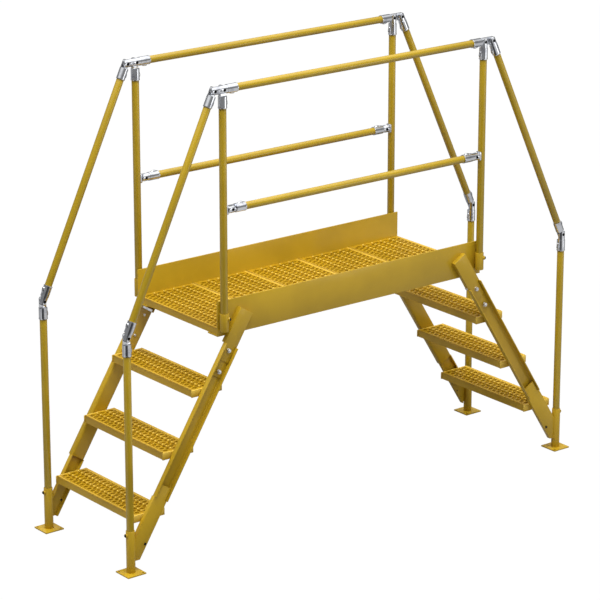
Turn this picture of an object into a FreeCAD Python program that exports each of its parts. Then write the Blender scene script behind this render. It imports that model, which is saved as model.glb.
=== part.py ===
import FreeCAD, Part
import math
import os
import Sketcher

# Crossover platform: a yellow steel stair of three treads up, a planked landing, and the same stair
# down. X runs along the crossing, Y across it, Z up. The origin is on the floor at the middle.

SIZES = {
    # Climb
    "rise": 254.0,
    "going": 159.0,
    "landing_going": 145.0,
    # Landing
    "plank_width": 304.8,
    "plank_depth": 32.0,
    "plank_gauge": 3.0,
    "plank_bend": 2.0,
    "grip_edge": 12.0,
    "grip_strand": 11.0,
    "deck_width": 594.0,
    "girder_gauge": 6.0,
    "girder_shelf": 72.0,
    "girder_above_deck": 122.0,
    # Treads
    "tread_depth": 165.0,
    "tread_height": 34.0,
    "tread_end_gauge": 5.0,
    "cleat_gauge": 5.0,
    "cleat_length": 70.0,
    "cleat_height": 24.0,
    # Stringers
    "stringer_gap": 8.0,
    "stringer_depth": 75.0,
    "stringer_flange": 29.0,
    "stringer_gauge": 5.0,
    "stringer_bend": 4.0,
    "nosing_cover": 40.0,
    "stringer_below_girder": 51.0,
    "stringer_short_of_leg": 298.0,
    "stringer_meets_leg": 57.5,
    # Hangers and splices
    "hanger_thick": 23.0,
    "hanger_gauge": 5.0,
    "hanger_above_girder": 118.0,
    "splice_length": 152.0,
    "tongue_length": 76.0,
    "splice_play": 0.5,
    # Feet
    "foot_side": 96.0,
    "foot_gauge": 6.0,
    "foot_hole": 11.0,
    "foot_hole_spacing": 75.0,
    "sleeve_wall": 3.0,
    "sleeve_height": 194.0,
    "leg_above_floor": 40.0,
    "bracket_depth": 20.0,
    "bracket_gauge": 5.0,
    "bracket_lap": 60.0,
    "bracket_above_floor": 55.0,
    # Pipe rails
    "pipe": 33.4,
    "pipe_wall": 3.4,
    "pipe_play": 0.3,
    "knuckle_height": 1082.0,
    "rail_above_deck": 1072.0,
    "mid_rail_above_deck": 538.0,
    "post_inset": 22.4,
    "link_length": 49.0,
    "post_sleeve_height": 82.0,
    "post_sleeve_below_deck": 11.0,
    # Swivel fittings
    "socket_wall": 3.3,
    "socket_depth": 48.0,
    "socket_floor": 4.0,
    "post_reach": 81.0,
    "rail_reach": 73.0,
    "knuckle": 36.0,
    "lap_play": 0.3,
    "saddle_height": 42.0,
    "saddle_wall": 5.0,
}

doc = FreeCAD.newDocument("crossover_platform")
sheet = doc.addObject("Spreadsheet::Sheet", "Sizes")
for row, (word, number) in enumerate(SIZES.items(), start=1):
    sheet.set(f"A{row}", word)
    sheet.set(f"B{row}", str(number))
    sheet.setAlias(f"B{row}", word)
doc.recompute()


class Size:
    """A size as a formula on the sheet, with the number that it gives now."""

    def __init__(self, formula, number):
        self.formula = formula
        self.number = number

    def __add__(self, other):
        return combine(self, "+", other, lambda a, b: a + b)

    def __radd__(self, other):
        return combine(other, "+", self, lambda a, b: a + b)

    def __sub__(self, other):
        return combine(self, "-", other, lambda a, b: a - b)

    def __rsub__(self, other):
        return combine(other, "-", self, lambda a, b: a - b)

    def __mul__(self, other):
        return combine(self, "*", other, lambda a, b: a * b)

    def __rmul__(self, other):
        return combine(other, "*", self, lambda a, b: a * b)

    def __truediv__(self, other):
        return combine(self, "/", other, lambda a, b: a / b)

    def __neg__(self):
        return combine(self, "*", -1, lambda a, b: a * b)


def as_size(value):
    return value if isinstance(value, Size) else Size(repr(float(value)), float(value))


def combine(left, sign, right, work):
    left = as_size(left)
    right = as_size(right)
    return Size(f"({left.formula} {sign} {right.formula})", work(left.number, right.number))


def cell(word):
    return Size(f"Sizes.{word}", float(sheet.get(word)))


def angle_of(rise, run):
    """The angle, in degrees, of a line that rises so much over such a run."""
    number = math.degrees(math.atan(rise.number / run.number))
    return Size(f"atan({rise.formula} / {run.formula})", number)


def sine(angle):
    return Size(f"sin({angle.formula})", math.sin(math.radians(angle.number)))


def cosine(angle):
    return Size(f"cos({angle.formula})", math.cos(math.radians(angle.number)))


def bind(thing, prop, value):
    thing.setExpression(prop, as_size(value).formula)


def degrees(number):
    return Size(f"{float(number)} deg", float(number))


def put(thing, at=(0, 0, 0), turn=degrees(0), about=(0, 1, 0)):
    """Places a piece: the point that its own origin goes to, and a turn about one axis there."""
    thing.Placement = FreeCAD.Placement(FreeCAD.Vector(0, 0, 0), FreeCAD.Rotation(FreeCAD.Vector(*about), 1))
    for axis, value in zip("xyz", at):
        bind(thing, f"Placement.Base.{axis}", value)
    thing.setExpression("Placement.Rotation.Angle", turn.formula)
    return thing


def block(name, low, high):
    """A box between two opposite corners."""
    box = doc.addObject("Part::Box", name)
    for prop, a, b in zip(("Length", "Width", "Height"), low, high):
        bind(box, prop, as_size(b) - a)
    return put(box, low)


def rod(name, diameter, length, at=(0, 0, 0), turn=degrees(0), about=(0, 1, 0)):
    """A round bar that starts at a point and runs up, then is turned about that point."""
    bar = doc.addObject("Part::Cylinder", name)
    bind(bar, "Radius", as_size(diameter) / 2)
    bind(bar, "Height", length)
    return put(bar, at, turn, about)


def cut(name, base, tool):
    result = doc.addObject("Part::Cut", name)
    result.Base = base
    result.Tool = tool
    return result


def join(name, pieces):
    result = doc.addObject("Part::MultiFuse", name)
    result.Shapes = pieces
    result.Refine = True
    return result


def common(name, pieces):
    result = doc.addObject("Part::MultiCommon", name)
    result.Shapes = pieces
    return result


def pipe(name, outside, bore, length, at=(0, 0, 0), turn=degrees(0), about=(0, 1, 0)):
    """A round tube, open at both ends."""
    outer = rod(f"{name}_outside", outside, length)
    inner = rod(f"{name}_bore", bore, length)
    return put(cut(name, outer, inner), at, turn, about)


def mirror(name, piece, normal):
    image = doc.addObject("Part::Mirroring", name)
    image.Source = piece
    image.Normal = FreeCAD.Vector(*normal)
    return image


def gather(name, pieces):
    group = doc.addObject("Part::Compound", name)
    group.Links = pieces
    return group


RIGHT, LEFT = 1, -1
BACK, FRONT = 1, -1
CORNERS = {"left_front": (LEFT, FRONT), "left_back": (LEFT, BACK),
           "right_front": (RIGHT, FRONT), "right_back": (RIGHT, BACK)}
NODES = {}


def node(name, piece):
    """Names a finished sub-part. Its label is also the name of its file."""
    piece.Label = name
    NODES[name] = piece


def images(name, piece):
    """The piece at the right back corner and its images at the other corners."""
    left_back = mirror(f"{name}_left_back", piece, (1, 0, 0))
    return {"left_front": mirror(f"{name}_left_front", left_back, (0, 1, 0)),
            "left_back": left_back,
            "right_front": mirror(f"{name}_right_front", piece, (0, 1, 0)),
            "right_back": piece}


def node_of_four(name, piece):
    node(name, gather(f"{name}_group", list(images(name, piece).values())))


def nodes_by_end(name, piece):
    """Two nodes, one for each end of the crossing, each with a front and a back piece."""
    corners = images(name, piece)
    for end in ("left", "right"):
        node(f"{name}_{end}", gather(f"{name}_{end}_pair", [corners[f"{end}_front"], corners[f"{end}_back"]]))


def sketch_on(body, role, name):
    plane = next(item for item in body.Origin.OriginFeatures if item.Role == role)
    drawing = body.newObject("Sketcher::SketchObject", name)
    drawing.AttachmentSupport = [(plane, "")]
    drawing.MapMode = "FlatFace"
    return drawing


def outline(drawing, corners):
    """Draws a closed outline through corners whose two distances from the origin are sizes."""
    points = [FreeCAD.Vector(as_size(u).number, as_size(v).number, 0) for u, v in corners]
    count = len(points)
    for index in range(count):
        drawing.addGeometry(Part.LineSegment(points[index], points[(index + 1) % count]), False)
    for index in range(count):
        drawing.addConstraint(Sketcher.Constraint("Coincident", index, 2, (index + 1) % count, 1))
    for index, corner in enumerate(corners):
        for kind, value in zip(("DistanceX", "DistanceY"), corner):
            value = as_size(value)
            place = drawing.addConstraint(Sketcher.Constraint(kind, -1, 1, index, 1, value.number))
            drawing.setExpression(f"Constraints[{place}]", value.formula)


def extrusion(name, role, corners, length, start=0, bends=()):
    """A body with one outline on an origin plane, padded from start along the plane's normal.

    Each bend gives a corner of the outline and the radius that rounds the edge running from it.
    """
    body = doc.addObject("PartDesign::Body", name)
    drawing = sketch_on(body, role, f"{name}_outline")
    outline(drawing, corners)
    bind(drawing, "AttachmentOffset.Base.z", start)
    pad = body.newObject("PartDesign::Pad", f"{name}_pad")
    pad.Profile = drawing
    bind(pad, "Length", length)
    doc.recompute()
    feature = pad
    along = drawing.Placement.Rotation.multVec(FreeCAD.Vector(0, 0, 1))
    for count, (corner, radius) in enumerate(bends, start=1):
        u, v = (as_size(value).number for value in corner)
        foot = drawing.Placement.multVec(FreeCAD.Vector(u, v, 0))
        bend = body.newObject("PartDesign::Fillet", f"{name}_bend_{count}")
        bend.Base = (feature, [edge_from(feature.Shape, foot, along)])
        bind(bend, "Radius", radius)
        doc.recompute()
        feature = bend
    return body


CLOSE = 0.01


def edge_from(shape, point, direction):
    """The name of the straight edge that has an end at a point and runs along a direction."""
    for index, line in enumerate(shape.Edges, start=1):
        ends = [vertex.Point for vertex in line.Vertexes]
        if len(ends) == 2 and (ends[1] - ends[0]).cross(direction).Length < CLOSE:
            if min(end.distanceToPoint(point) for end in ends) < CLOSE:
                return f"Edge{index}"
    raise RuntimeError("no such edge")


# Places that several pieces share
half_deck = cell("plank_width") * 5 / 2
deck_top = cell("rise") * 4
half_width = cell("deck_width") / 2
girder_face = half_width + cell("girder_gauge")
shelf_top = deck_top - cell("plank_depth")
girder_bottom = shelf_top - cell("girder_gauge")

# A flight has a frame of its own, turned by its slope about the origin: there X runs down the flight
# and Z out of it, so the noses of the treads lie at one height and the stringer is a level channel.
slope = angle_of(cell("rise"), cell("going"))
sin_slope = sine(slope)
cos_slope = cosine(slope)
landing_nose = half_deck + cell("landing_going")
nose_line = landing_nose * sin_slope + cell("rise") * 3 * cos_slope
stringer_high = nose_line - cell("nosing_cover")
stringer_low = stringer_high - cell("stringer_depth")
stringer_middle = (stringer_high + stringer_low) / 2
leg_x = (stringer_middle - cell("stringer_meets_leg") * cos_slope) / sin_slope
at_girder = (stringer_middle * cos_slope - girder_bottom) / sin_slope
at_leg = (leg_x - stringer_middle * sin_slope) / cos_slope
stringer_top = at_girder + cell("stringer_below_girder")
stringer_foot = at_leg - cell("stringer_short_of_leg")
stringer_face = girder_face + cell("stringer_gap")
web_face = stringer_face + cell("stringer_gauge")
inside_flanges = cell("stringer_gauge") + cell("stringer_bend") + cell("splice_play")

# Pipes and their fittings
pipe_bore = cell("pipe") - cell("pipe_wall") * 2
sleeve_bore = cell("pipe") + cell("pipe_play") * 2
sleeve_outside = sleeve_bore + cell("sleeve_wall") * 2
socket_outside = sleeve_bore + cell("socket_wall") * 2
post_y = girder_face + sleeve_outside / 2
post_x = half_deck - cell("post_inset")
rail_height = deck_top + cell("rail_above_deck")
mid_rail_height = deck_top + cell("mid_rail_above_deck")
link_x = post_x + cell("link_length")
saddle_x = post_x - sleeve_bore / 2 - cell("saddle_wall")
mid_pin_x = saddle_x - cell("lap_play") - cell("knuckle") / 2
stair_lean = angle_of(leg_x - link_x, rail_height - cell("knuckle_height"))
stair_run = (rail_height - cell("knuckle_height")) / cosine(stair_lean)
post_grip = cell("post_reach") - cell("socket_depth")
rail_grip = cell("rail_reach") - cell("socket_depth")


def formed_plank(name, nose, back, depth, gauge, bend, half_span):
    """A sheet bent down along both long edges, its top at no height. It runs across the crossing."""
    corners = [
        (back, 0),
        (back, -depth),
        (back + gauge, -depth),
        (back + gauge, -gauge),
        (nose - gauge, -gauge),
        (nose - gauge, -depth),
        (nose, -depth),
        (nose, 0),
    ]
    bends = [(corners[0], bend + gauge), (corners[7], bend + gauge), (corners[3], bend), (corners[4], bend)]
    return extrusion(name, "XZ_Plane", corners, half_span * 2, -half_span, bends)


def pierced(name, plank, breadth, span, columns, rows):
    """A plank with one coarse grid of diamond openings, and a second grid set between the first."""
    pitch_x = (breadth - cell("grip_edge") * 2) / columns
    pitch_y = (span - cell("grip_edge") * 2) / rows
    half_x = pitch_x / 2 - cell("grip_strand")
    half_y = half_x * pitch_y / pitch_x
    gauge = cell("plank_gauge")
    corners = [(half_x, 0), (0, half_y), (-half_x, 0), (0, -half_y)]
    diamond = extrusion(f"{name}_diamond", "XY_Plane", corners, gauge * 3, -gauge * 2)
    openings = []
    for across, along in ((columns, rows), (columns - 1, rows - 1)):
        for column in range(across):
            for row in range(along):
                opening = gather(f"{name}_opening_{across}_{column}_{row}", [diamond])
                at = (pitch_x * (column - (across - 1) / 2), pitch_y * (row - (along - 1) / 2), 0)
                openings.append(put(opening, at))
    return cut(f"{name}_pierced", plank, gather(f"{name}_openings", openings))


def deck_planks():
    """Five formed grip planks lie edge to edge across the landing, on the girders' shelves."""
    half = cell("plank_width") / 2
    sheet_steel = formed_plank("plank", half, -half, cell("plank_depth"), cell("plank_gauge"),
                               cell("plank_bend"), half_width)
    plank = pierced("plank", sheet_steel, cell("plank_width"), cell("deck_width"), 3, 5)
    for index in range(5):
        placed = gather(f"plank_{index + 1}", [plank])
        node(f"deck_plank_{index + 1}", put(placed, (cell("plank_width") * (index - 2), 0, deck_top)))


def girders():
    """Steel angles: a tall leg that stands above the planks as a toe board, and a shelf under them."""
    shelf_edge = girder_face - cell("girder_shelf")
    top = deck_top + cell("girder_above_deck")
    corners = [
        (girder_face, girder_bottom),
        (girder_face, top),
        (half_width, top),
        (half_width, shelf_top),
        (shelf_edge, shelf_top),
        (shelf_edge, girder_bottom),
    ]
    back = extrusion("girder", "YZ_Plane", corners, half_deck * 2, -half_deck)
    node("side_girder_back", back)
    node("side_girder_front", mirror("girder_front", back, (0, 1, 0)))


def treads():
    """Three formed grip treads a flight, each with a plate welded across both ends."""
    plate_face = stringer_face - cell("cleat_gauge")
    half_span = plate_face - cell("tread_end_gauge")
    half = cell("tread_depth") / 2
    pan = formed_plank("tread_pan", half, -half, cell("tread_height"), cell("plank_gauge"),
                       cell("plank_bend"), half_span)
    grip = pierced("tread", pan, cell("tread_depth"), half_span * 2, 2, 6)
    back_end = block("tread_back_end", (-half, half_span, -cell("tread_height")), (half, plate_face, 0))
    front_end = mirror("tread_front_end", back_end, (0, 1, 0))
    tread = join("tread", [grip, back_end, front_end])
    for step in (1, 2, 3):
        middle = landing_nose + cell("going") * (3 - step) - half
        right = put(gather(f"tread_{step}", [tread]), (middle, 0, cell("rise") * step))
        node(f"tread_right_{step}", right)
        node(f"tread_left_{step}", mirror(f"tread_left_{step}", right, (1, 0, 0)))


def cleats():
    """Flat pads between the treads' end plates and the stringers' webs, where the bolts go through."""
    pads = []
    for step in (1, 2, 3):
        top = cell("rise") * step - cell("plank_gauge")
        bottom = top - cell("cleat_height")
        middle = (stringer_middle - (top + bottom) / 2 * cos_slope) / sin_slope
        low = (middle - cell("cleat_length") / 2, stringer_face - cell("cleat_gauge"), bottom)
        high = (middle + cell("cleat_length") / 2, stringer_face, top)
        pads += images(f"cleat_{step}", block(f"cleat_{step}", low, high)).values()
    node("tread_cleats", gather("cleats", pads))


def stringers():
    """Sloping channels with their flanges turned outward, square cut at both ends."""
    outer = stringer_face + cell("stringer_flange")
    gauge = cell("stringer_gauge")
    bend = cell("stringer_bend")
    corners = [
        (stringer_face, stringer_low),
        (outer, stringer_low),
        (outer, stringer_low + gauge),
        (web_face, stringer_low + gauge),
        (web_face, stringer_high - gauge),
        (outer, stringer_high - gauge),
        (outer, stringer_high),
        (stringer_face, stringer_high),
    ]
    bends = [(corners[0], bend + gauge), (corners[7], bend + gauge), (corners[3], bend), (corners[4], bend)]
    channel = extrusion("stringer", "YZ_Plane", corners, stringer_foot - stringer_top, stringer_top, bends)
    put(channel, turn=slope)
    for corner, piece in images("stringer", channel).items():
        node(f"stringer_{corner}", piece)


def hangers():
    """Channels on the girders. Each one's web runs on as a tongue between the stringer's flanges."""
    outer = girder_face + cell("hanger_thick")
    gauge = cell("hanger_gauge")
    top = at_girder - cell("hanger_above_girder")
    shell = block("hanger_shell", (top, girder_face, stringer_low), (stringer_top, outer, stringer_high))
    hollow = block("hanger_hollow", (top + gauge, girder_face, stringer_low + gauge),
                   (stringer_top, outer - gauge, stringer_high - gauge))
    tongue = block("hanger_tongue", (stringer_top, outer - gauge, stringer_low + inside_flanges),
                   (stringer_top + cell("tongue_length"), outer, stringer_high - inside_flanges))
    channel = join("hanger", [cut("hanger_channel", shell, hollow), tongue])
    nodes_by_end("hangers", put(channel, turn=slope))


def splice_plates():
    """Packing between the hangers' tongues and the stringers' webs."""
    inner = girder_face + cell("hanger_thick") - cell("hanger_gauge")
    low = stringer_low + inside_flanges
    high = stringer_high - inside_flanges
    corners = [(web_face, low), (inner, low), (inner, high), (web_face, high)]
    plate = extrusion("splice", "YZ_Plane", corners, cell("splice_length"), stringer_top)
    node_of_four("splice_plates", put(plate, turn=slope))


def foot_plates():
    """Square floor plates with two holes across one diagonal."""
    plates = []
    half_side = cell("foot_side") / 2
    reach = cell("foot_hole_spacing") / 2
    for corner, (end, row) in CORNERS.items():
        x = leg_x * end
        y = post_y * row
        plate = block(f"plate_{corner}", (x - half_side, y - half_side, 0),
                      (x + half_side, y + half_side, cell("foot_gauge")))
        holes = [rod(f"hole_{corner}_{way + 1}", cell("foot_hole"), cell("foot_gauge"),
                     (x + reach * end * way, y + reach * way, 0)) for way in (-1, 1)]
        plates.append(cut(f"drilled_{corner}", plate, join(f"holes_{corner}", holes)))
    node("foot_plates", gather("plates", plates))


def foot_brackets():
    """Shallow channels welded to the foot sleeves. Their webs lap inside the stringers' lower ends."""
    gauge = cell("bracket_gauge")
    outer = stringer_face + cell("bracket_depth")
    shell = block("bracket_shell", (stringer_foot, stringer_face, stringer_low),
                  (at_leg, outer, stringer_high))
    hollow = block("bracket_hollow", (stringer_foot, stringer_face, stringer_low + gauge),
                   (at_leg, outer - gauge, stringer_high - gauge))
    lap = block("bracket_lap", (stringer_foot - cell("bracket_lap"), outer - gauge,
                                stringer_low + inside_flanges),
                (stringer_foot, outer, stringer_high - inside_flanges))
    channel = put(join("bracket_channel", [cut("bracket_hollowed", shell, hollow), lap]), turn=slope)
    keep = block("bracket_keep", (0, 0, cell("bracket_above_floor")), (leg_x, post_y * 2, deck_top))
    trimmed = common("bracket_trimmed", [channel, keep])
    coping = rod("bracket_coping", sleeve_outside, deck_top, (leg_x, post_y, 0))
    node_of_four("foot_brackets", cut("foot_bracket", trimmed, coping))


def sleeves():
    """Round sleeves for the uprights: tall ones on the floor plates, short ones on the girders."""
    foot = pipe("foot_sleeve", sleeve_outside, sleeve_bore, cell("sleeve_height"),
                (leg_x, post_y, cell("foot_gauge")))
    node_of_four("foot_sleeves", foot)
    post = pipe("post_sleeve", sleeve_outside, sleeve_bore, cell("post_sleeve_height"),
                (post_x, post_y, deck_top - cell("post_sleeve_below_deck")))
    node_of_four("post_sleeves", post)


def uprights():
    """Pipe legs and posts. Each stands in its sleeve and ends in the socket above it."""
    leg_length = cell("knuckle_height") - post_grip - cell("leg_above_floor")
    leg = pipe("leg", cell("pipe"), pipe_bore, leg_length, (leg_x, post_y, cell("leg_above_floor")))
    nodes_by_end("leg_posts", leg)
    foot = deck_top - cell("post_sleeve_below_deck")
    post = pipe("post", cell("pipe"), pipe_bore, rail_height - post_grip - foot, (post_x, post_y, foot))
    nodes_by_end("platform_posts", post)


def rails():
    """Level top and mid rails, and the stair rails that slope down to the legs."""
    top_half = post_x - post_grip
    mid_half = mid_pin_x - rail_grip
    for word, half, height in (("top", top_half, rail_height), ("mid", mid_half, mid_rail_height)):
        back = pipe(f"{word}_rail", cell("pipe"), pipe_bore, half * 2, (-half, post_y, height), degrees(90))
        node(f"{word}_rail_back", back)
        node(f"{word}_rail_front", mirror(f"{word}_rail_front", back, (0, 1, 0)))
    start = (leg_x - sine(stair_lean) * rail_grip, post_y,
             cell("knuckle_height") + cosine(stair_lean) * rail_grip)
    rail = pipe("stair_rail", cell("pipe"), pipe_bore, stair_run - rail_grip * 2, start, -stair_lean)
    nodes_by_end("stair_rails", rail)


def lap_knuckle(name, ear, tail, reach):
    """Half of a round bar that runs up from a tail below the origin, where its end is rounded.

    The ear says on which side of the lap the half lies: 1 for +Y, -1 for -Y.
    """
    knuckle = cell("knuckle")
    bar = rod(f"{name}_bar", knuckle, reach + tail + knuckle / 2, (0, 0, -tail - knuckle / 2))
    rounding = rod(f"{name}_rounding", knuckle, knuckle, (0, knuckle / 2, -tail), degrees(90), (1, 0, 0))
    above = block(f"{name}_above", (-knuckle, -knuckle, -tail), (knuckle, knuckle, reach))
    end = join(f"{name}_end", [rounding, above])
    play = cell("lap_play") / 2
    near, far = (play, knuckle) if ear > 0 else (-knuckle, -play)
    half = block(f"{name}_half", (-knuckle, near, -tail - knuckle), (knuckle, far, reach))
    return common(f"{name}_knuckle", [bar, end, half])


def lap_socket(name, ear, reach, tail=0):
    """A cast pipe socket. Its pin is at the origin, its mouth is up, and its knuckle is half a bar.

    A tail carries the knuckle on to a second pin below the first.
    """
    length = cell("socket_depth") + cell("socket_floor")
    shoulder = reach - length
    barrel = rod(f"{name}_barrel", socket_outside, length, (0, 0, shoulder))
    knuckle = lap_knuckle(name, ear, as_size(tail), shoulder + cell("socket_floor") / 2)
    mouth = rod(f"{name}_mouth", sleeve_bore, cell("socket_depth"), (0, 0, reach - cell("socket_depth")))
    return cut(name, join(f"{name}_solid", [barrel, knuckle]), mouth)


def lap_lug(name, ear):
    """A lug for the side of a post: a pad that fits the pipe, and half a bar down to the pin."""
    reach = post_x - mid_pin_x
    pad_floor = saddle_x - mid_pin_x
    half_height = cell("saddle_height") / 2
    half_breadth = cell("pipe") * 2 / 5
    pad = block(f"{name}_pad", (-half_height, -half_breadth, pad_floor),
                (half_height, half_breadth, reach - cell("pipe") / 4))
    knuckle = lap_knuckle(name, ear, as_size(0), pad_floor + cell("saddle_wall") / 2)
    post = rod(f"{name}_post", sleeve_bore, half_height * 4, (-half_height * 2, 0, reach), degrees(90))
    return cut(name, join(f"{name}_solid", [pad, knuckle]), post)


def fittings():
    """The swivel fittings, all cast halves that lap on the middle plane of the rails.

    At each leg, two sockets meet on one pin. At each upper corner, the top rail's socket carries the
    post's socket on one pin and the stair rail's socket on a second. Each mid rail's socket turns on a
    lug on the post. The halves change sides from one end of the crossing to the other.
    """
    sets = {word: [] for word in ("leg_sockets", "stair_rail_lower_sockets", "post_top_sockets",
                                  "top_rail_sockets", "stair_rail_upper_sockets", "mid_rail_sockets",
                                  "mid_rail_lugs")}
    post_reach = cell("post_reach")
    rail_reach = cell("rail_reach")
    for corner, (side, row) in CORNERS.items():
        y = post_y * row
        at_knuckle = (leg_x * side, y, cell("knuckle_height"))
        at_post = (post_x * side, y, rail_height)
        at_link = (link_x * side, y, rail_height)
        at_lug = (mid_pin_x * side, y, mid_rail_height)
        inward = degrees(-90 * side)
        lean = stair_lean * side
        pieces = {
            "leg_sockets": (lap_socket(f"leg_socket_{corner}", -side, post_reach),
                            at_knuckle, degrees(180)),
            "stair_rail_lower_sockets": (lap_socket(f"lower_socket_{corner}", side, rail_reach),
                                         at_knuckle, -lean),
            "post_top_sockets": (lap_socket(f"post_socket_{corner}", -side, post_reach),
                                 at_post, degrees(180)),
            "top_rail_sockets": (lap_socket(f"top_socket_{corner}", side, rail_reach,
                                            cell("link_length")), at_post, inward),
            "stair_rail_upper_sockets": (lap_socket(f"upper_socket_{corner}", -side, rail_reach),
                                         at_link, degrees(180) - lean),
            "mid_rail_sockets": (lap_socket(f"mid_socket_{corner}", side * row, rail_reach),
                                 at_lug, inward),
            "mid_rail_lugs": (lap_lug(f"mid_lug_{corner}", -side * row), at_lug, degrees(90 * side)),
        }
        for word, (piece, at, turn) in pieces.items():
            sets[word].append(put(piece, at, turn))
    for word, pieces in sets.items():
        node(word, gather(f"{word}_set", pieces))


def check_and_write():
    """Stops at any failed object or bad shape, then writes one file a sub-part."""
    for thing in doc.Objects:
        if "Invalid" in thing.State or "Error" in thing.State:
            raise RuntimeError(f"{thing.Name} failed: {thing.State}")
    for name, piece in NODES.items():
        if piece.Shape.isNull() or not piece.Shape.isValid() or not piece.Shape.Solids:
            raise RuntimeError(f"{name} has no valid shape")
    os.makedirs("parts", exist_ok=True)
    for name, piece in NODES.items():
        piece.Shape.exportStep(f"parts/{name}.step")
        print(f"{name}: {len(piece.Shape.Solids)} solids, {piece.Shape.Volume / 1000:.1f} cm3")


deck_planks()
girders()
treads()
cleats()
stringers()
hangers()
splice_plates()
foot_plates()
foot_brackets()
sleeves()
uprights()
rails()
fittings()
doc.recompute()
check_and_write()
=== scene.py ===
import math
import bpy
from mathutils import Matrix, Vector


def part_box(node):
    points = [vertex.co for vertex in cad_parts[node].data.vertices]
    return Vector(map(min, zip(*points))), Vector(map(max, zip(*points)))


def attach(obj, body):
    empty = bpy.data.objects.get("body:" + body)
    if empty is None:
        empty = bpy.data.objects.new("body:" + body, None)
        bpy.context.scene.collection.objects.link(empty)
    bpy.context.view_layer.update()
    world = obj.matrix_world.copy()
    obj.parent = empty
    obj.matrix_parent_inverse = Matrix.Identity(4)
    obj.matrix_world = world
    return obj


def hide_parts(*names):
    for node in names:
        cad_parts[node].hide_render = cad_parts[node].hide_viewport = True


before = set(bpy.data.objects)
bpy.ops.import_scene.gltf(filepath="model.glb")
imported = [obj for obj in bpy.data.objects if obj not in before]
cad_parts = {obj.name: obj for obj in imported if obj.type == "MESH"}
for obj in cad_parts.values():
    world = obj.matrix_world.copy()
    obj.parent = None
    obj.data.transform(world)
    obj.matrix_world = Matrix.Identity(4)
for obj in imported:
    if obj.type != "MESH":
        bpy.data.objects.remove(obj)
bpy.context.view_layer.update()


# The camera stands off the front left corner of the crossing, above the handrails, and looks down at
# it through a long lens, as in the photograph.
look_down = 0.3122212
look_across = 0.6648973
bpy.ops.object.camera_add(location=(-7.942341, -10.045087, 5.052818),
                          rotation=(math.pi / 2 - look_down, 0, -look_across))
camera = bpy.context.object
camera.name = "camera"
camera.data.sensor_width = 36
camera.data.lens = 175.497
camera.data.clip_end = 80
bpy.context.scene.camera = camera


class Wire:
    """One socket of a material. Sums written on wires add their Math nodes."""

    def __init__(self, paint, socket):
        self.paint = paint
        self.socket = socket

    def math(self, operation, first, second):
        return self.paint.node("ShaderNodeMath", {"operation": operation}, {0: first, 1: second})

    def __add__(self, other):
        return self.math("ADD", self, other)

    def __radd__(self, other):
        return self.math("ADD", other, self)

    def __mul__(self, other):
        return self.math("MULTIPLY", self, other)

    def __rmul__(self, other):
        return self.math("MULTIPLY", other, self)

    def clamped(self):
        return self.paint.node("ShaderNodeClamp", {}, {"Value": self})


class Paint:
    """A material in the making: it adds nodes and gives back their first output as a wire."""

    def __init__(self, name):
        self.material = bpy.data.materials.new(name)
        self.material.use_nodes = True
        self.tree = self.material.node_tree
        self.tree.nodes.clear()

    def node(self, kind, settings, inputs, output=0):
        made = self.tree.nodes.new(kind)
        for word, value in settings.items():
            if word == "stops":
                self.set_stops(made.color_ramp, value)
            else:
                setattr(made, word, value)
        for key, value in inputs.items():
            self.connect(self.find(made, key), value)
        return Wire(self, made.outputs[output]) if made.outputs else None

    def find(self, made, key):
        """A node's input by its place, or by its identifier or name."""
        if isinstance(key, int):
            return made.inputs[key]
        same = [socket for socket in made.inputs if key in (socket.identifier, socket.name)]
        return same[0]

    def connect(self, socket, value):
        if isinstance(value, Wire):
            self.tree.links.new(value.socket, socket)
        else:
            socket.default_value = value

    def set_stops(self, ramp, stops):
        while len(ramp.elements) < len(stops):
            ramp.elements.new(0.5)
        for element, (place, color) in zip(ramp.elements, stops):
            element.position = place
            element.color = color

    def place(self):
        return self.node("ShaderNodeTexCoord", {}, {}, output=3)

    def noise(self, scale, detail=2.0, rough=0.5):
        return self.node("ShaderNodeTexNoise", {}, {"Vector": self.place(), "Scale": scale,
                                                    "Detail": detail, "Roughness": rough})

    def between(self, value, low, high):
        """0 below low, 1 above high, and smooth between them."""
        return self.node("ShaderNodeMapRange", {"interpolation_type": "SMOOTHSTEP"},
                         {"Value": value, "From Min": low, "From Max": high})

    def blend(self, factor, first, second):
        return self.node("ShaderNodeMix", {"data_type": "RGBA"},
                         {"Factor_Float": factor, "A_Color": first, "B_Color": second}, output=2)

    def bump(self, height, strength, distance):
        return self.node("ShaderNodeBump", {}, {"Height": height, "Strength": strength,
                                                "Distance": distance})

    def surface(self, **inputs):
        named = {word.replace("_", " "): value for word, value in inputs.items()}
        shader = self.node("ShaderNodeBsdfPrincipled", {}, named)
        self.node("ShaderNodeOutputMaterial", {}, {"Surface": shader})
        return self.material


def color(red, green, blue):
    """A colour as a painter reads it off a screen, made linear."""
    parts = [value / 255 for value in (red, green, blue)]
    linear = [p / 12.92 if p <= 0.04045 else ((p + 0.055) / 1.055) ** 2.4 for p in parts]
    return (*linear, 1.0)


def grey(level):
    return (level, level, level, 1.0)


# The studio is a white sweep below a broad overhead softbox that fades to grey walls. The sweep and the
# walls show as white to the camera, and the sweep keeps the object's soft shadow. Mirrored in the steel,
# the sweep is bright or dark by direction, as between a studio's white sheets and black screens.
def soft_light(name, place, aim, size, watts):
    bpy.ops.object.light_add(type="AREA", location=place)
    light = bpy.context.object
    light.name = name
    light.data.shape = "DISK"
    light.data.size = size
    light.data.energy = watts
    way = [a - p for a, p in zip(aim, place)]
    light.rotation_euler = (math.atan2(math.hypot(way[0], way[1]), -way[2]), 0,
                            math.atan2(-way[0], way[1]))


soft_light("key_light", (-1.2, -1.8, 7.2), (0, 0, 1), 3.5, 240)
soft_light("front_light", (4.5, -6.5, 2.0), (0, 0, 0.9), 3.2, 46)

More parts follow.
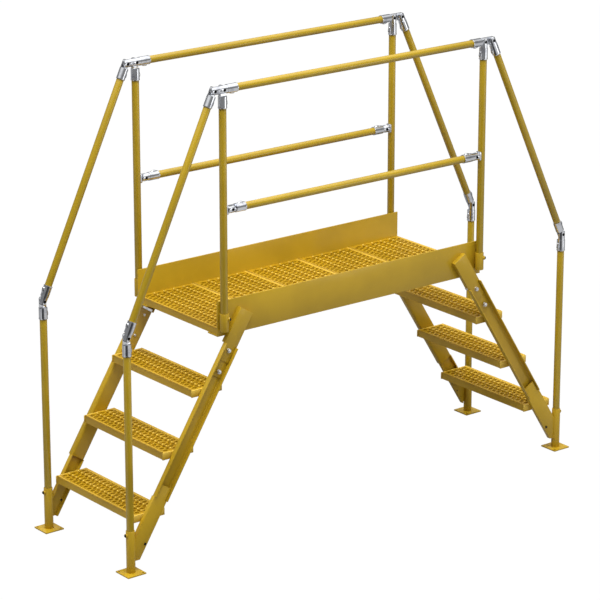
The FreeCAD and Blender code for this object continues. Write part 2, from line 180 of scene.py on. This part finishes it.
bpy.ops.mesh.primitive_plane_add(size=120, location=(0, 0, -0.0005))
floor = bpy.context.object
floor.name = "studio_floor"
sweep = Paint("studio_white")
seen = sweep.node("ShaderNodeLightPath", {}, {}, output=0)
mirrored = sweep.node("ShaderNodeLightPath", {}, {}, output=3)
around = sweep.node("ShaderNodeTexGradient", {"gradient_type": "RADIAL"},
                    {"Vector": sweep.place()}, output=1)
bright_by_turn = [(0.0, 0.85), (0.030, 0.80), (0.065, 0.03), (0.190, 0.03), (0.240, 0.75),
                  (0.44, 0.65), (0.52, 0.12), (0.60, 0.12), (0.66, 0.45)]
sheets = sweep.node("ShaderNodeValToRGB",
                    {"stops": [(turn, grey(level)) for turn, level in bright_by_turn]}, {"Fac": around})
shown_white = (seen * 0.96 + mirrored * sheets).clamped()
matt = sweep.node("ShaderNodeBsdfDiffuse", {}, {"Color": sweep.blend(mirrored, grey(0.3), grey(0.03))})
glow = sweep.node("ShaderNodeEmission", {}, {"Color": grey(1), "Strength": 1.04})
mixed = sweep.node("ShaderNodeMixShader", {}, {0: shown_white, 1: matt, 2: glow})
sweep.node("ShaderNodeOutputMaterial", {}, {"Surface": mixed})
floor.data.materials.append(sweep.material)

world = bpy.data.worlds.new("studio")
bpy.context.scene.world = world
world.use_nodes = True
sky = world.node_tree.nodes
links = world.node_tree.links
path = sky.new("ShaderNodeLightPath")
toward = sky.new("ShaderNodeTexCoord")
height = sky.new("ShaderNodeSeparateXYZ")
links.new(toward.outputs["Generated"], height.inputs[0])
softbox = sky.new("ShaderNodeMapRange")
softbox.interpolation_type = "SMOOTHSTEP"
softbox.inputs["From Min"].default_value = 0.42
softbox.inputs["From Max"].default_value = 0.86
links.new(height.outputs["Z"], softbox.inputs["Value"])


def by_ray(kind, usual, special):
    """A strength that differs for one kind of ray."""
    mix = sky.new("ShaderNodeMix")
    mix.inputs["A"].default_value = usual
    mix.inputs["B"].default_value = special
    links.new(path.outputs[kind], mix.inputs["Factor"])
    return mix


walls = by_ray("Is Glossy Ray", 0.08, 0.30)
overhead = by_ray("Is Glossy Ray", 2.0, 1.9)
strength = by_ray("Is Camera Ray", 0.0, 1.0)
links.new(walls.outputs["Result"], softbox.inputs["To Min"])
links.new(overhead.outputs["Result"], softbox.inputs["To Max"])
links.new(softbox.outputs["Result"], strength.inputs["A"])
sky["Background"].inputs["Color"].default_value = grey(1)
links.new(strength.outputs["Result"], sky["Background"].inputs["Strength"])
bpy.context.scene.view_settings.view_transform = "Standard"


# All the steel is coated in one semi-gloss yellow powder: a fine orange peel, a faint drift of shade,
# and small rubbed marks that show a paler, drier coat.
def powder_coat(name, tint, peel=0.25, dust=0.25, gloss=0.35, painted_highlight_part=None):
    coat = Paint(name)
    drift = coat.between(coat.noise(3.5, detail=3.0), 0.35, 0.65)
    deep = tuple(part * 0.86 for part in tint[:3]) + (1.0,)
    pale = tuple(min(1.0, part * 1.12 + 0.012) for part in tint[:3]) + (1.0,)
    shade = coat.blend(drift, deep, tint)
    rubbed = coat.between(coat.noise(38.0, detail=6.0, rough=0.68), 0.60, 0.74) * dust
    shade = coat.blend(rubbed, shade, pale)
    # Painted highlight: where the named attribute is set, the coat is painted towards a pale warm yellow.
    # This stands for light caught on raised parts and, on the buttons, also for worn paint.
    if painted_highlight_part:
        painted_highlight_amount = coat.node("ShaderNodeAttribute", {"attribute_name": painted_highlight_part}, {}, output=2)
        shade = coat.blend((painted_highlight_amount * (0.7 + drift * 0.3)).clamped(), shade, color(246, 210, 92))
    roughness = 0.34 + coat.noise(22.0, detail=3.0) * 0.12 + rubbed * 0.25
    orange_peel = coat.noise(420.0, detail=2.0)
    runs = coat.noise(60.0, detail=2.0)
    normal = coat.bump(orange_peel + runs * 0.6, peel, 0.0006)
    return coat.surface(Base_Color=shade, Roughness=roughness, Normal=normal, Specular_IOR_Level=0.2,
                        Coat_Weight=gloss, Coat_Roughness=0.18)


yellow = powder_coat("yellow_powder_coat", color(200, 163, 35))


def select_none():
    if bpy.context.object and bpy.context.object.mode != "OBJECT":
        bpy.ops.object.mode_set(mode="OBJECT")
    bpy.ops.object.select_all(action="DESELECT")


def only(*pieces):
    """Leaves just these pieces selected, the last one active."""
    select_none()
    for piece in pieces:
        piece.select_set(True)
    bpy.context.view_layer.objects.active = pieces[-1]


def settle(piece):
    """Writes a piece's place, turn and scale into its mesh."""
    only(piece)
    bpy.ops.object.transform_apply(location=True, rotation=True, scale=True)
    return piece


def everything(*where):
    return True


def select(piece, kind, test):
    """Goes to edit mode with those vertices, edges or faces selected that pass a test of their middle."""
    only(piece)
    mesh = piece.data
    for group in (mesh.vertices, mesh.edges, mesh.polygons):
        group.foreach_set("select", [False] * len(group))
    if kind == "VERT":
        for vertex in mesh.vertices:
            vertex.select = test(vertex.co)
    elif kind == "EDGE":
        for edge in mesh.edges:
            first, second = (mesh.vertices[i].co for i in edge.vertices)
            edge.select = test((first + second) / 2, second - first)
    else:
        for face in mesh.polygons:
            face.select = test(face.center, face.normal)
    bpy.ops.object.mode_set(mode="EDIT")
    bpy.ops.mesh.select_mode(type=kind)


def done(piece):
    bpy.ops.object.mode_set(mode="OBJECT")
    return piece


def modify(piece, kind, **settings):
    """Adds a modifier and applies it at once."""
    only(piece)
    modifier = piece.modifiers.new(kind.lower(), kind)
    for word, value in settings.items():
        setattr(modifier, word, value)
    bpy.ops.object.modifier_apply(modifier=modifier.name)
    return piece


def bevel(piece, width, segments, degrees):
    """Rounds every edge that turns more than an angle."""
    return modify(piece, "BEVEL", width=width, segments=segments, limit_method="ANGLE",
                  angle_limit=math.radians(degrees))


def join(*pieces):
    only(*pieces)
    bpy.ops.object.join()
    return bpy.context.view_layer.objects.active


def copy_of(piece, place=(0, 0, 0), turn=(0, 0, 0), scale=(1, 1, 1)):
    """A copy with its own mesh, put in its place. A mirrored copy gets its faces turned out again."""
    twin = piece.copy()
    twin.data = piece.data.copy()
    bpy.context.collection.objects.link(twin)
    twin.location = place
    twin.rotation_euler = turn
    twin.scale = scale
    settle(twin)
    if scale[0] * scale[1] * scale[2] < 0:
        select(twin, "FACE", everything)
        bpy.ops.mesh.flip_normals()
        done(twin)
    return twin


def drop(*pieces):
    for piece in pieces:
        bpy.data.objects.remove(piece)


def combine(piece, tool, how):
    """Joins, cuts or trims a piece with another closed one, which is used up."""
    modify(piece, "BOOLEAN", object=tool, operation=how, solver="EXACT")
    drop(tool)
    return piece


def smooth(piece, degrees=35):
    only(piece)
    bpy.ops.object.shade_smooth_by_angle(angle=math.radians(degrees))
    return piece


def dress(piece, name, finish, slot, *nodes):
    """Names a finished piece, coats it, fixes it to the frame, and hides the solids it stands for."""
    piece.name = name
    piece.data.name = name
    piece.data.materials.clear()
    piece.data.materials.append(finish)
    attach(piece, "root")
    if nodes:
        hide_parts(*nodes)
    return piece


def middle(node):
    low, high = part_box(node)
    return [(a + b) / 2 for a, b in zip(low, high)]


# Where the pipes and fittings stand, measured on the solids. Right is +X, and the front is -Y.
RIGHT, LEFT = 1, -1
BACK, FRONT = 1, -1
CORNERS = [(LEFT, FRONT), (LEFT, BACK), (RIGHT, FRONT), (RIGHT, BACK)]
quarter = math.pi / 2
pipe_width = 0.0334
post_reach = 0.081
link_length = 0.049
ear_radius = 0.018
row_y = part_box("leg_posts_right")[1][1] - pipe_width / 2
leg_x = middle("leg_posts_right")[0]
post_x = middle("platform_posts_right")[0]
knuckle_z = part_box("leg_sockets")[0][2] + post_reach
rail_z = middle("top_rail_back")[2]
mid_z = middle("mid_rail_back")[2]
link_x = post_x + link_length
mid_pin_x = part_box("mid_rail_sockets")[1][0] - ear_radius
lean = math.atan((leg_x - link_x) / (rail_z - knuckle_z))


# The sheet and plate steel under the landing and the stairs: girders, hangers, stringers, brackets,
# sleeves and floor plates. Each is cut and folded from flat steel, so every edge is slightly rounded.
def rounded_steel(node, name, round_by=0.0009):
    """A copy of a steel solid, its facets merged and its sharp edges rounded."""
    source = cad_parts[node]
    piece = source.copy()
    piece.data = source.data.copy()
    piece.animation_data_clear()
    for word in list(piece.keys()):
        del piece[word]
    piece.parent = None
    bpy.context.collection.objects.link(piece)
    select(piece, "FACE", everything)
    bpy.ops.mesh.remove_doubles(threshold=0.00002)
    bpy.ops.mesh.select_all(action="SELECT")
    bpy.ops.mesh.dissolve_limited(angle_limit=math.radians(1.0))
    done(piece)
    bevel(piece, round_by, 2, 40)
    smooth(piece, 50)
    return dress(piece, name, yellow, "yellow_paint", node)


for steel_node in ("side_girder_back", "side_girder_front", "hangers_left", "hangers_right",
                   "stringer_left_back", "stringer_left_front", "stringer_right_back",
                   "stringer_right_front", "splice_plates", "tread_cleats", "foot_brackets",
                   "foot_plates", "foot_sleeves", "post_sleeves"):
    rounded_steel(steel_node, f"{steel_node}_steel")


# The rails, posts and legs are 33.4 mm steel pipe with a 3.4 mm wall, cut square. Their ends stand in
# the sleeves and in the castings' sockets.
pipe_wall = 0.0034
# The pipes wear the same powder as the plates. Their coat is painted a little darker, as painted shade.
pipe_yellow_painted_darker = powder_coat("yellow_coat_on_pipe", color(187, 155, 24), peel=0.02, gloss=0.7)


def pipe(start, end):
    """A pipe from point to point, its bore open for a hand's breadth at each end."""
    run = [b - a for a, b in zip(start, end)]
    length = math.hypot(*run)
    select_none()
    bpy.ops.mesh.primitive_cylinder_add(vertices=40, radius=pipe_width / 2, depth=length)
    tube = bpy.context.object
    select(tube, "FACE", lambda center, normal: abs(normal.z) > 0.9)
    bpy.ops.mesh.inset(thickness=pipe_wall, use_individual=True)
    done(tube)
    bored = min(0.1, length / 3)
    for side in (1, -1):
        select(tube, "FACE", lambda center, normal: (normal.z * side > 0.9
                                                     and math.hypot(center.x, center.y) < 1e-4))
        bpy.ops.mesh.extrude_region_move(TRANSFORM_OT_translate={"value": (0, 0, -side * bored)})
        done(tube)
    tube.rotation_euler = (0, math.acos(run[2] / length), math.atan2(run[1], run[0]))
    tube.location = [(a + b) / 2 for a, b in zip(start, end)]
    settle(tube)
    return smooth(bevel(tube, 0.0006, 2, 60))


def pair(name, node, start, end):
    """A front and a back pipe, given by the X and Z of their ends, as one piece."""
    pipes = [pipe((start[0], row_y * row, start[1]), (end[0], row_y * row, end[1])) for row in (FRONT, BACK)]
    dress(join(*pipes), name, pipe_yellow_painted_darker, "yellow_paint", node)


foot_of_leg, top_of_leg = (corner[2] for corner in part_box("leg_posts_right"))
foot_of_post, top_of_post = (corner[2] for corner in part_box("platform_posts_right"))
off_pin = 0.025
slope_foot = (leg_x - off_pin * math.sin(lean), knuckle_z + off_pin * math.cos(lean))
slope_top = (link_x + off_pin * math.sin(lean), rail_z - off_pin * math.cos(lean))
for end, word in ((LEFT, "left"), (RIGHT, "right")):
    pair(f"legs_{word}", f"leg_posts_{word}", (leg_x * end, foot_of_leg), (leg_x * end, top_of_leg))
    pair(f"posts_{word}", f"platform_posts_{word}", (post_x * end, foot_of_post),
         (post_x * end, top_of_post))
    pair(f"sloping_rails_{word}", f"stair_rails_{word}", (slope_foot[0] * end, slope_foot[1]),
         (slope_top[0] * end, slope_top[1]))
for row, word in ((FRONT, "front"), (BACK, "back")):
    for level, height in (("top", rail_z), ("mid", mid_z)):
        node = f"{level}_rail_{word}"
        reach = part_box(node)[1][0]
        rail = pipe((-reach, row_y * row, height), (reach, row_y * row, height))
        dress(rail, f"{node}_pipe", pipe_yellow_painted_darker, "yellow_paint", node)


# The landing planks and the treads are grip planks: sheet steel punched into rows of diamond openings
# between plain edges, with the long sides folded down. A button stands up at each node between the
# diamonds, and the treads have a plate welded across each end.
open_share = 0.72
grip_gauge = 0.003
grip_bend = 0.0022
strand_depth = 0.016
plain_edge = 0.012
tip_cut = 0.0036
button_size = (0.0070, 0.0060, 0.0082)


def diamond_punch(columns, rows, pitch_x, pitch_y, half_field, through):
    """Closed diamond bars at every opening: one grid of them, and a second between it. Those at the long
    sides are cut off at the field's edge."""
    select_none()
    bpy.ops.mesh.primitive_cylinder_add(vertices=4, radius=1.0, depth=2 * through)
    bar = bpy.context.object
    bar.scale = (pitch_x / 2 * open_share, pitch_y / 2 * open_share, 1)
    settle(bar)
    between_them = copy_of(bar)
    for piece, across, along in ((bar, columns, rows), (between_them, columns + 1, rows - 1)):
        for count, way in ((across, (pitch_x, 0, 0)), (along, (0, pitch_y, 0))):
            modify(piece, "ARRAY", count=count, use_relative_offset=False, use_constant_offset=True,
                   constant_offset_displace=way)
        piece.location = (-(across - 1) * pitch_x / 2, -(along - 1) * pitch_y / 2, 0)
        settle(piece)
    for side in (1, -1):
        select(between_them, "FACE", everything)
        bpy.ops.mesh.bisect(plane_co=(side * half_field, 0, 0), plane_no=(side, 0, 0), use_fill=True,
                            clear_outer=True)
        done(between_them)
    return join(between_them, bar)


def block(size, place, rounding=0.0, segments=2):
    """A rectangular bar with its edges rounded."""
    select_none()
    bpy.ops.mesh.primitive_cube_add(size=1.0, location=place)
    bar = bpy.context.object
    bar.scale = size
    settle(bar)
    if rounding:
        modify(bar, "BEVEL", width=rounding, segments=segments)
    return bar


def mark_painted_highlight_and_wear(piece, amount):
    """Marks how far the coat on a piece is painted paler, in an attribute that its finish reads: a painted
    highlight, in places also wear.
    """
    marks = piece.data.attributes.new("rubbed", "FLOAT", "POINT")
    marks.data.foreach_set("value", [amount(vertex.co) for vertex in piece.data.vertices])
    return piece


def grip_buttons(columns, rows, pitch_x, pitch_y):
    """The raised buttons at the nodes, where four strands meet. Their tops are painted pale: a painted
    highlight, which also stands for paint worn by feet.
    """
    select_none()
    bpy.ops.mesh.primitive_uv_sphere_add(segments=10, ring_count=6, radius=1.0)
    button = bpy.context.object
    select(button, "FACE", lambda center, normal: center.z < -0.6)
    bpy.ops.mesh.delete(type="FACE")
    done(button)
    button.scale = button_size
    settle(button)
    # Painted highlight on the upper part of each button, partly also wear.
    mark_painted_highlight_and_wear(button, lambda co: max(0.0, min(1.0, co.z / button_size[2] * 1.8 - 0.6)))
    across = columns - 1
    for count, way in ((across, (pitch_x, 0, 0)), (rows, (0, pitch_y, 0))):
        modify(button, "ARRAY", count=count, use_relative_offset=False, use_constant_offset=True,
               constant_offset_displace=way)
    button.location = (-(across - 1) * pitch_x / 2, -(rows - 1) * pitch_y / 2, 0)
    return settle(button)


def folded_side(edge_x, half_x, half_y, depth):
    """The folded side of a plank: a strip of the top, a round bend, and the skirt that hangs from it."""
    select_none()
    bpy.ops.mesh.primitive_plane_add(size=1.0)
    strip = bpy.context.object
    strip.scale = (half_x - grip_bend - edge_x, half_y * 2, 1)
    strip.location = ((half_x - grip_bend + edge_x) / 2, 0, 0)
    settle(strip)
    select(strip, "EDGE", lambda center, run: center.x > half_x - grip_bend - 1e-5)
    bpy.ops.mesh.spin(steps=6, angle=quarter, center=(half_x - grip_bend, 0, -grip_bend), axis=(0, 1, 0))
    done(strip)
    lowest = min(vertex.co.z for vertex in strip.data.vertices)
    select(strip, "EDGE", lambda center, run: center.z < lowest + 1e-5)
    bpy.ops.mesh.extrude_edges_move(TRANSFORM_OT_translate={"value": (0, 0, grip_bend - depth)})
    done(strip)
    select(strip, "FACE", everything)
    bpy.ops.mesh.remove_doubles(threshold=0.00005)
    bpy.ops.mesh.normals_make_consistent(inside=False)
    done(strip)
    top = max(strip.data.polygons, key=lambda face: face.center.z)
    if top.normal.z < 0:
        select(strip, "FACE", everything)
        bpy.ops.mesh.flip_normals()
        done(strip)
    modify(strip, "SOLIDIFY", thickness=grip_gauge, offset=-1)
    # The top strip and the skirt are painted paler, the top strip more: painted light.
    return mark_painted_highlight_and_wear(strip, lambda co: 0.55 if co.z > -0.0012 else 0.30)


def grip_plank(columns, rows, pitch_x, pitch_y, half_x, half_y, depth):
    """A whole grip plank, centred on the origin with its top at zero height."""
    edge_x = half_x - plain_edge
    sheet = block((edge_x * 2, half_y * 2, strand_depth), (0, 0, -strand_depth / 2))
    punch = diamond_punch(columns, rows, pitch_x, pitch_y, edge_x - tip_cut, strand_depth + 0.01)
    combine(sheet, punch, "DIFFERENCE")
    side = folded_side(edge_x, half_x, half_y, depth)
    other = copy_of(side, scale=(-1, 1, 1))
    return join(side, other, grip_buttons(columns, rows, pitch_x, pitch_y), sheet)


# This coat shows the painted highlight marked on the grip planks' buttons, folded sides and end plates.
grip_yellow = powder_coat("yellow_coat_on_grip_steel", color(196, 154, 24), peel=0.35, dust=0.35,
                          gloss=0.12, painted_highlight_part="rubbed")


def grip_copy(model, name, node):
    """A copy of a grip plank in the place of a solid, its top at the solid's top."""
    twin = copy_of(model, place=(middle(node)[0], 0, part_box(node)[1][2]))
    dress(smooth(twin, 30), name, grip_yellow, "grip_planks", node)


low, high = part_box("deck_plank_1")
plank = grip_plank(5, 21, 0.0545, 0.0272, (high[0] - low[0]) / 2, (high[1] - low[1]) / 2, high[2] - low[2])
for number in range(1, 6):
    grip_copy(plank, f"landing_grip_plank_{number}", f"deck_plank_{number}")
drop(plank)

low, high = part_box("tread_left_1")
tread_width, tread_depth = high[0] - low[0], high[2] - low[2]
end_gauge = 0.005
half_span = (high[1] - low[1]) / 2 - end_gauge
# The top edge of each end plate is painted near white, a painted glint; the rest of each plate is painted a
# little paler.
ends = [mark_painted_highlight_and_wear(block((tread_width, end_gauge, tread_depth),
                  (0, row * (half_span + end_gauge / 2), -tread_depth / 2), 0.0012, 3),
            lambda co: 1.0 if co.z > -0.0013 else 0.25)
        for row in (FRONT, BACK)]
tread = join(*ends, grip_plank(3, 21, 0.050, 0.0282, tread_width / 2, half_span, tread_depth))
for word in ("left", "right"):
    for step in (1, 2, 3):
        node = f"tread_{word}_{step}"
        grip_copy(tread, f"{node}_grip", node)
drop(tread)


# Where the rails bend, polished cast aluminium sockets meet. Each has a barrel that a pipe stands in, with
# a raised rim and a boss for its set screw, and a half-round ear that laps the next one's on a sunk pin.
barrel_radius = 0.0203
barrel_length = 0.052
bore_radius = 0.017
bore_depth = 0.048
lap_gap = 0.00015
screw_down = 0.0175


def round_bar(radius, low, high, place=(0, 0, 0), turn=(0, 0, 0), parts=36):
    """A closed round bar along Z from low to high, then turned and moved."""
    select_none()
    bpy.ops.mesh.primitive_cylinder_add(vertices=parts, radius=radius, depth=high - low,
                                        location=(0, 0, (low + high) / 2))
    bar = settle(bpy.context.object)
    bar.rotation_euler = turn
    bar.location = place
    return settle(bar)


def ear(tail, top):
    """Half a bar on the +Y side, its end rounded about the pin that lies a tail below the origin."""
    bar = round_bar(ear_radius, -tail - ear_radius, top)
    select(bar, "FACE", everything)
    bpy.ops.mesh.bisect(plane_co=(0, lap_gap, 0), plane_no=(0, 1, 0), use_fill=True, clear_inner=True)
    done(bar)
    template = round_bar(ear_radius, -0.03, 0.03, (0, 0, -tail), (quarter, 0, 0))
    select(template, "FACE", everything)
    bpy.ops.mesh.bisect(plane_co=(0, 0, -tail), plane_no=(0, 0, 1), use_fill=True, clear_outer=True)
    bpy.ops.mesh.extrude_region_move(TRANSFORM_OT_translate={"value": (0, 0, tail + top + 0.005)})
    done(template)
    return combine(bar, template, "INTERSECT")


def set_screw_boss(height):
    """A teardrop on the +X side: steep towards the mouth, with a long slope down to the ear."""
    select_none()
    bpy.ops.mesh.primitive_uv_sphere_add(segments=20, ring_count=14, radius=0.0078)
    boss = bpy.context.object
    select(boss, "VERT", lambda co: co.z < -1e-5)
    bpy.ops.transform.resize(value=(1, 1, 2.7), center_override=(0, 0, 0))
    done(boss)
    boss.scale = (0.85, 1, 1)
    boss.location = (barrel_radius - 0.0016, 0, height)
    return settle(boss)


def sink_pin_hole(piece, tail=0.0):
    """Sinks the round hole of a pin into an ear."""
    return combine(piece, round_bar(0.0072, 0.006, 0.03, (0, 0, -tail), (-quarter, 0, 0), parts=24),
                   "DIFFERENCE")


def socket_half(reach, tail=0.0):
    """One casting, its pin at the origin and its mouth at +Z, with its boss to +X and its ear to +Y."""
    shoulder = reach - barrel_length
    body = round_bar(barrel_radius - 0.0006, shoulder, reach)
    rim = round_bar(barrel_radius, reach - 0.0042, reach)
    combine(body, rim, "UNION")
    combine(body, ear(tail, shoulder + 0.002), "UNION")
    combine(body, set_screw_boss(reach - screw_down), "UNION")
    combine(body, round_bar(bore_radius, reach - bore_depth, reach + 0.01), "DIFFERENCE")
    for below in {0.0, tail}:
        sink_pin_hole(body, below)
    screw_hole = round_bar(0.0030, barrel_radius + 0.001, 0.04, (0, 0, reach - screw_down),
                           (0, quarter, 0), parts=16)
    combine(body, screw_hole, "DIFFERENCE")
    return smooth(bevel(body, 0.0011, 3, 38), 42)


def saddle_lug(reach, pad_floor):
    """The mid rails' lug: a pad hollowed to fit the post, with an ear that runs down to the pin."""
    pad_high, pad_wide = 0.042, 0.0267
    pad_top = reach - 0.008
    pad = block((pad_high, pad_wide, pad_top - pad_floor), (0, 0, (pad_floor + pad_top) / 2))
    bevel(pad, 0.004, 3, 40)
    combine(pad, ear(0.0, pad_floor + 0.0025), "UNION")
    combine(pad, round_bar(bore_radius, -0.05, 0.05, (0, 0, reach), (0, quarter, 0)), "DIFFERENCE")
    sink_pin_hole(pad)
    return smooth(bevel(pad, 0.0009, 2, 38), 42)


def cast_aluminium():
    """Tumbled and polished castings: bright, a little uneven, duller in small patches."""
    metal = Paint("polished_cast_aluminium")
    grain = metal.noise(260.0, detail=3.0)
    waves = metal.noise(55.0, detail=2.0)
    patches = metal.between(metal.noise(34.0, detail=4.0, rough=0.6), 0.48, 0.70)
    shade = metal.blend(patches, color(208, 210, 214), color(178, 180, 187))
    roughness = 0.07 + patches * 0.07 + grain * 0.04
    normal = metal.bump(grain * 0.3 + waves, 0.10, 0.0006)
    return metal.surface(Base_Color=shade, Metallic=1.0, Roughness=roughness, Normal=normal)


def dark_steel():
    """Black-oxide socket screws, a little oily."""
    metal = Paint("black_oxide_steel")
    grain = metal.noise(300.0, detail=3.0)
    shade = metal.blend(metal.between(grain, 0.45, 0.6), color(24, 23, 22), color(48, 46, 44))
    return metal.surface(Base_Color=shade, Metallic=0.6, Roughness=0.38 + grain * 0.2,
                         Normal=metal.bump(grain, 0.2, 0.0004))


aluminium = cast_aluminium()
black_steel = dark_steel()


def socket_screw(radius, length, key):
    """A headless socket screw along +Z from the origin, with a hexagon sunk in its end."""
    screw = round_bar(radius, 0, length, parts=20)
    hexagon = round_bar(key, length - key * 1.4, length + 0.01, parts=6)
    combine(screw, hexagon, "DIFFERENCE")
    return bevel(screw, radius * 0.12, 1, 50)


rail_reach = 0.073
lug_floor = 0.0183
long_half = socket_half(post_reach)
short_half = socket_half(rail_reach)
link_half = socket_half(rail_reach, link_length)
pocket_z, pocket_stretch = -0.021, 1.7
pocket = round_bar(0.0048, 0.0135, 0.03, (0, 0, pocket_z), (-quarter, 0, 0), parts=20)
pocket.scale = (1, 1, pocket_stretch)
pocket.location = (0, 0, (1 - pocket_stretch) * pocket_z)
combine(link_half, settle(pocket), "DIFFERENCE")
lug = saddle_lug(post_x - mid_pin_x, lug_floor)
pin = socket_screw(0.0070, 0.0125, 0.0036)
set_screw = socket_screw(0.0027, 0.006, 0.0015)

castings = {}
screws = []
for side, row in CORNERS:
    y = row_y * row
    at_knuckle = (leg_x * side, y, knuckle_z)
    at_post = (post_x * side, y, rail_z)
    at_link = (link_x * side, y, rail_z)
    at_lug = (mid_pin_x * side, y, mid_z)
    for node, half, reach, tail, place, turn, ear_way, boss_way in (
            ("leg_sockets", long_half, post_reach, 0, at_knuckle, math.pi, -side, side),
            ("stair_rail_lower_sockets", short_half, rail_reach, 0, at_knuckle, -side * lean, side, side),
            ("post_top_sockets", long_half, post_reach, 0, at_post, math.pi, -side, side),
            ("top_rail_sockets", link_half, rail_reach, link_length, at_post, -quarter * side, side, -side),
            ("stair_rail_upper_sockets", short_half, rail_reach, 0, at_link, math.pi - side * lean,
             -side, side),
            ("mid_rail_sockets", short_half, rail_reach, 0, at_lug, -quarter * side, side * row, side),
            ("mid_rail_lugs", lug, 0, 0, at_lug, quarter * side, -side * row, 1)):
        made = castings.setdefault(node, [])
        made.append(copy_of(half, place, (0, turn, 0), (boss_way, ear_way, 1)))
        for depth in {0, tail}:
            sunk = copy_of(pin, (0, 0, -depth), (-quarter, 0, 0))
            screws.append(copy_of(sunk, place, (0, turn, 0), (boss_way, ear_way, 1)))
            drop(sunk)
        if reach:
            turned = copy_of(set_screw, (barrel_radius - 0.0025, 0, reach - screw_down), (0, quarter, 0))
            screws.append(copy_of(turned, place, (0, turn, 0), (boss_way, ear_way, 1)))
            drop(turned)
drop(long_half, short_half, link_half, lug, pin, set_screw)
for node, pieces in castings.items():
    dress(join(*pieces), f"{node}_cast", aluminium, "cast_fittings", node)
dress(smooth(join(*screws)), "fitting_screws", black_steel, "cast_fittings")


# The hangers are bolted to the stringers with zinc-plated M10 bolts, the nut outside and a domed head
# inside, and a zinc strap crosses each stringer's upper end. A black grub screw in a welded boss holds
# each post and leg in its sleeve, and another crosses each foot bracket.
def zinc_plate():
    """Zinc plating, cloudy and a little dull."""
    metal = Paint("zinc_plated_steel")
    cloud = metal.between(metal.noise(90.0, detail=4.0, rough=0.6), 0.4, 0.65)
    grain = metal.noise(500.0, detail=2.0)
    shade = metal.blend(cloud, color(226, 226, 226), color(196, 197, 200))
    return metal.surface(Base_Color=shade, Metallic=1.0, Roughness=0.26 + cloud * 0.14 + grain * 0.06,
                         Normal=metal.bump(grain, 0.15, 0.0003))


zinc = zinc_plate()


def washer(radius, gauge):
    return bevel(round_bar(radius, 0, gauge, parts=28), gauge * 0.25, 1, 60)


def hexagon_head(across_flats, height, base):
    """A hexagon with its top corners turned off to a cone, standing on the given height."""
    rim = across_flats / math.sqrt(3)
    head = round_bar(rim, base, base + height, parts=6)
    cone = round_bar(rim + 0.0002, base - 0.001, base + height, parts=28)
    select(cone, "FACE", lambda center, normal: normal.z > 0.9)
    bpy.ops.mesh.inset(thickness=across_flats * 0.10)
    done(cone)
    select(cone, "VERT", lambda co: co.z > base + height - 1e-6 and math.hypot(co.x, co.y) > rim)
    bpy.ops.transform.translate(value=(0, 0, -height * 0.22))
    done(cone)
    return combine(head, cone, "INTERSECT")


def nut_end(thread, across_flats):
    """A washer, a nut and the end of the bolt that stands out of it."""
    stub = bevel(round_bar(thread / 2, 0.0, thread * 1.25, parts=20), 0.0010, 1, 60)
    return join(washer(thread, 0.0018), hexagon_head(across_flats, thread * 0.8, 0.0016), stub)


stair_rise, stair_run = 0.8476, 0.5305
slope = math.atan2(stair_rise, stair_run)
tongue_out = 0.326
web_in = -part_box("stringer_left_front")[1][1]
sleeve_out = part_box("foot_sleeves")[1][0] - leg_x
bracket_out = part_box("foot_brackets")[1][1]
bolt_across, bolts_down = 1.0954, (-0.392, -0.290)
strap_across, strap_down = 1.0910, -0.423
post_screw_z, leg_screw_z = 1.062, 0.181
bracket_screw_x, bracket_screw_z = 1.186, 0.122
swing = math.radians(50)


def on_stringer(side, across, down):
    """World X and Z of a point given across the stringer and down along it."""
    return (side * (stair_rise * across + stair_run * down), stair_run * across - stair_rise * down)


nut = nut_end(0.010, 0.017)
select_none()
bpy.ops.mesh.primitive_uv_sphere_add(segments=24, ring_count=12, radius=0.0072)
dome = bpy.context.object
dome.scale = (1, 1, 0.62)
settle(dome)
boss = round_bar(0.0090, -0.0025, 0.0062, parts=24)
combine(boss, round_bar(0.0060, 0.0, 0.01, parts=20), "DIFFERENCE")
bevel(boss, 0.0010, 2, 50)
grub = socket_screw(0.0058, 0.0100, 0.0028)
strap = block((0.074, 0.013, 0.0115), (0, 0, 0), 0.0012, 2)
bolts, bosses, grub_screws = [], [], []
for side, row in CORNERS:
    for down in bolts_down:
        x, z = on_stringer(side, bolt_across, down)
        bolts.append(copy_of(nut, (x, row * tongue_out, z), (-row * quarter, 0, 0)))
        bolts.append(copy_of(dome, (x, row * web_in, z), (row * quarter, 0, 0)))
    post_screw = (post_x * side + sleeve_out * math.cos(swing),
                  (row_y + sleeve_out * math.sin(swing)) * row, post_screw_z)
    leg_screw = ((leg_x + sleeve_out) * side, row_y * row, leg_screw_z)
    for place, way in ((post_screw, (0, quarter, swing * row)), (leg_screw, (0, quarter * side, 0))):
        bosses.append(copy_of(boss, place, way))
        grub_screws.append(copy_of(grub, place, way))
    bracket_screw = (bracket_screw_x * side, (bracket_out - 0.006) * row, bracket_screw_z)
    grub_screws.append(copy_of(grub, bracket_screw, (-row * quarter, 0, 0)))
    x, z = on_stringer(side, strap_across, strap_down)
    bolts.append(copy_of(strap, (x, row * (web_in + 0.0025), z), (0, (slope - quarter) * side, 0)))
drop(nut, dome, boss, grub, strap)
dress(smooth(join(*bosses), 40), "sleeve_screw_bosses", yellow, "yellow_paint")
dress(smooth(join(*grub_screws)), "sleeve_screws", black_steel, "cast_fittings")
dress(smooth(join(*bolts), 30), "bolts_and_straps", zinc, "cast_fittings")
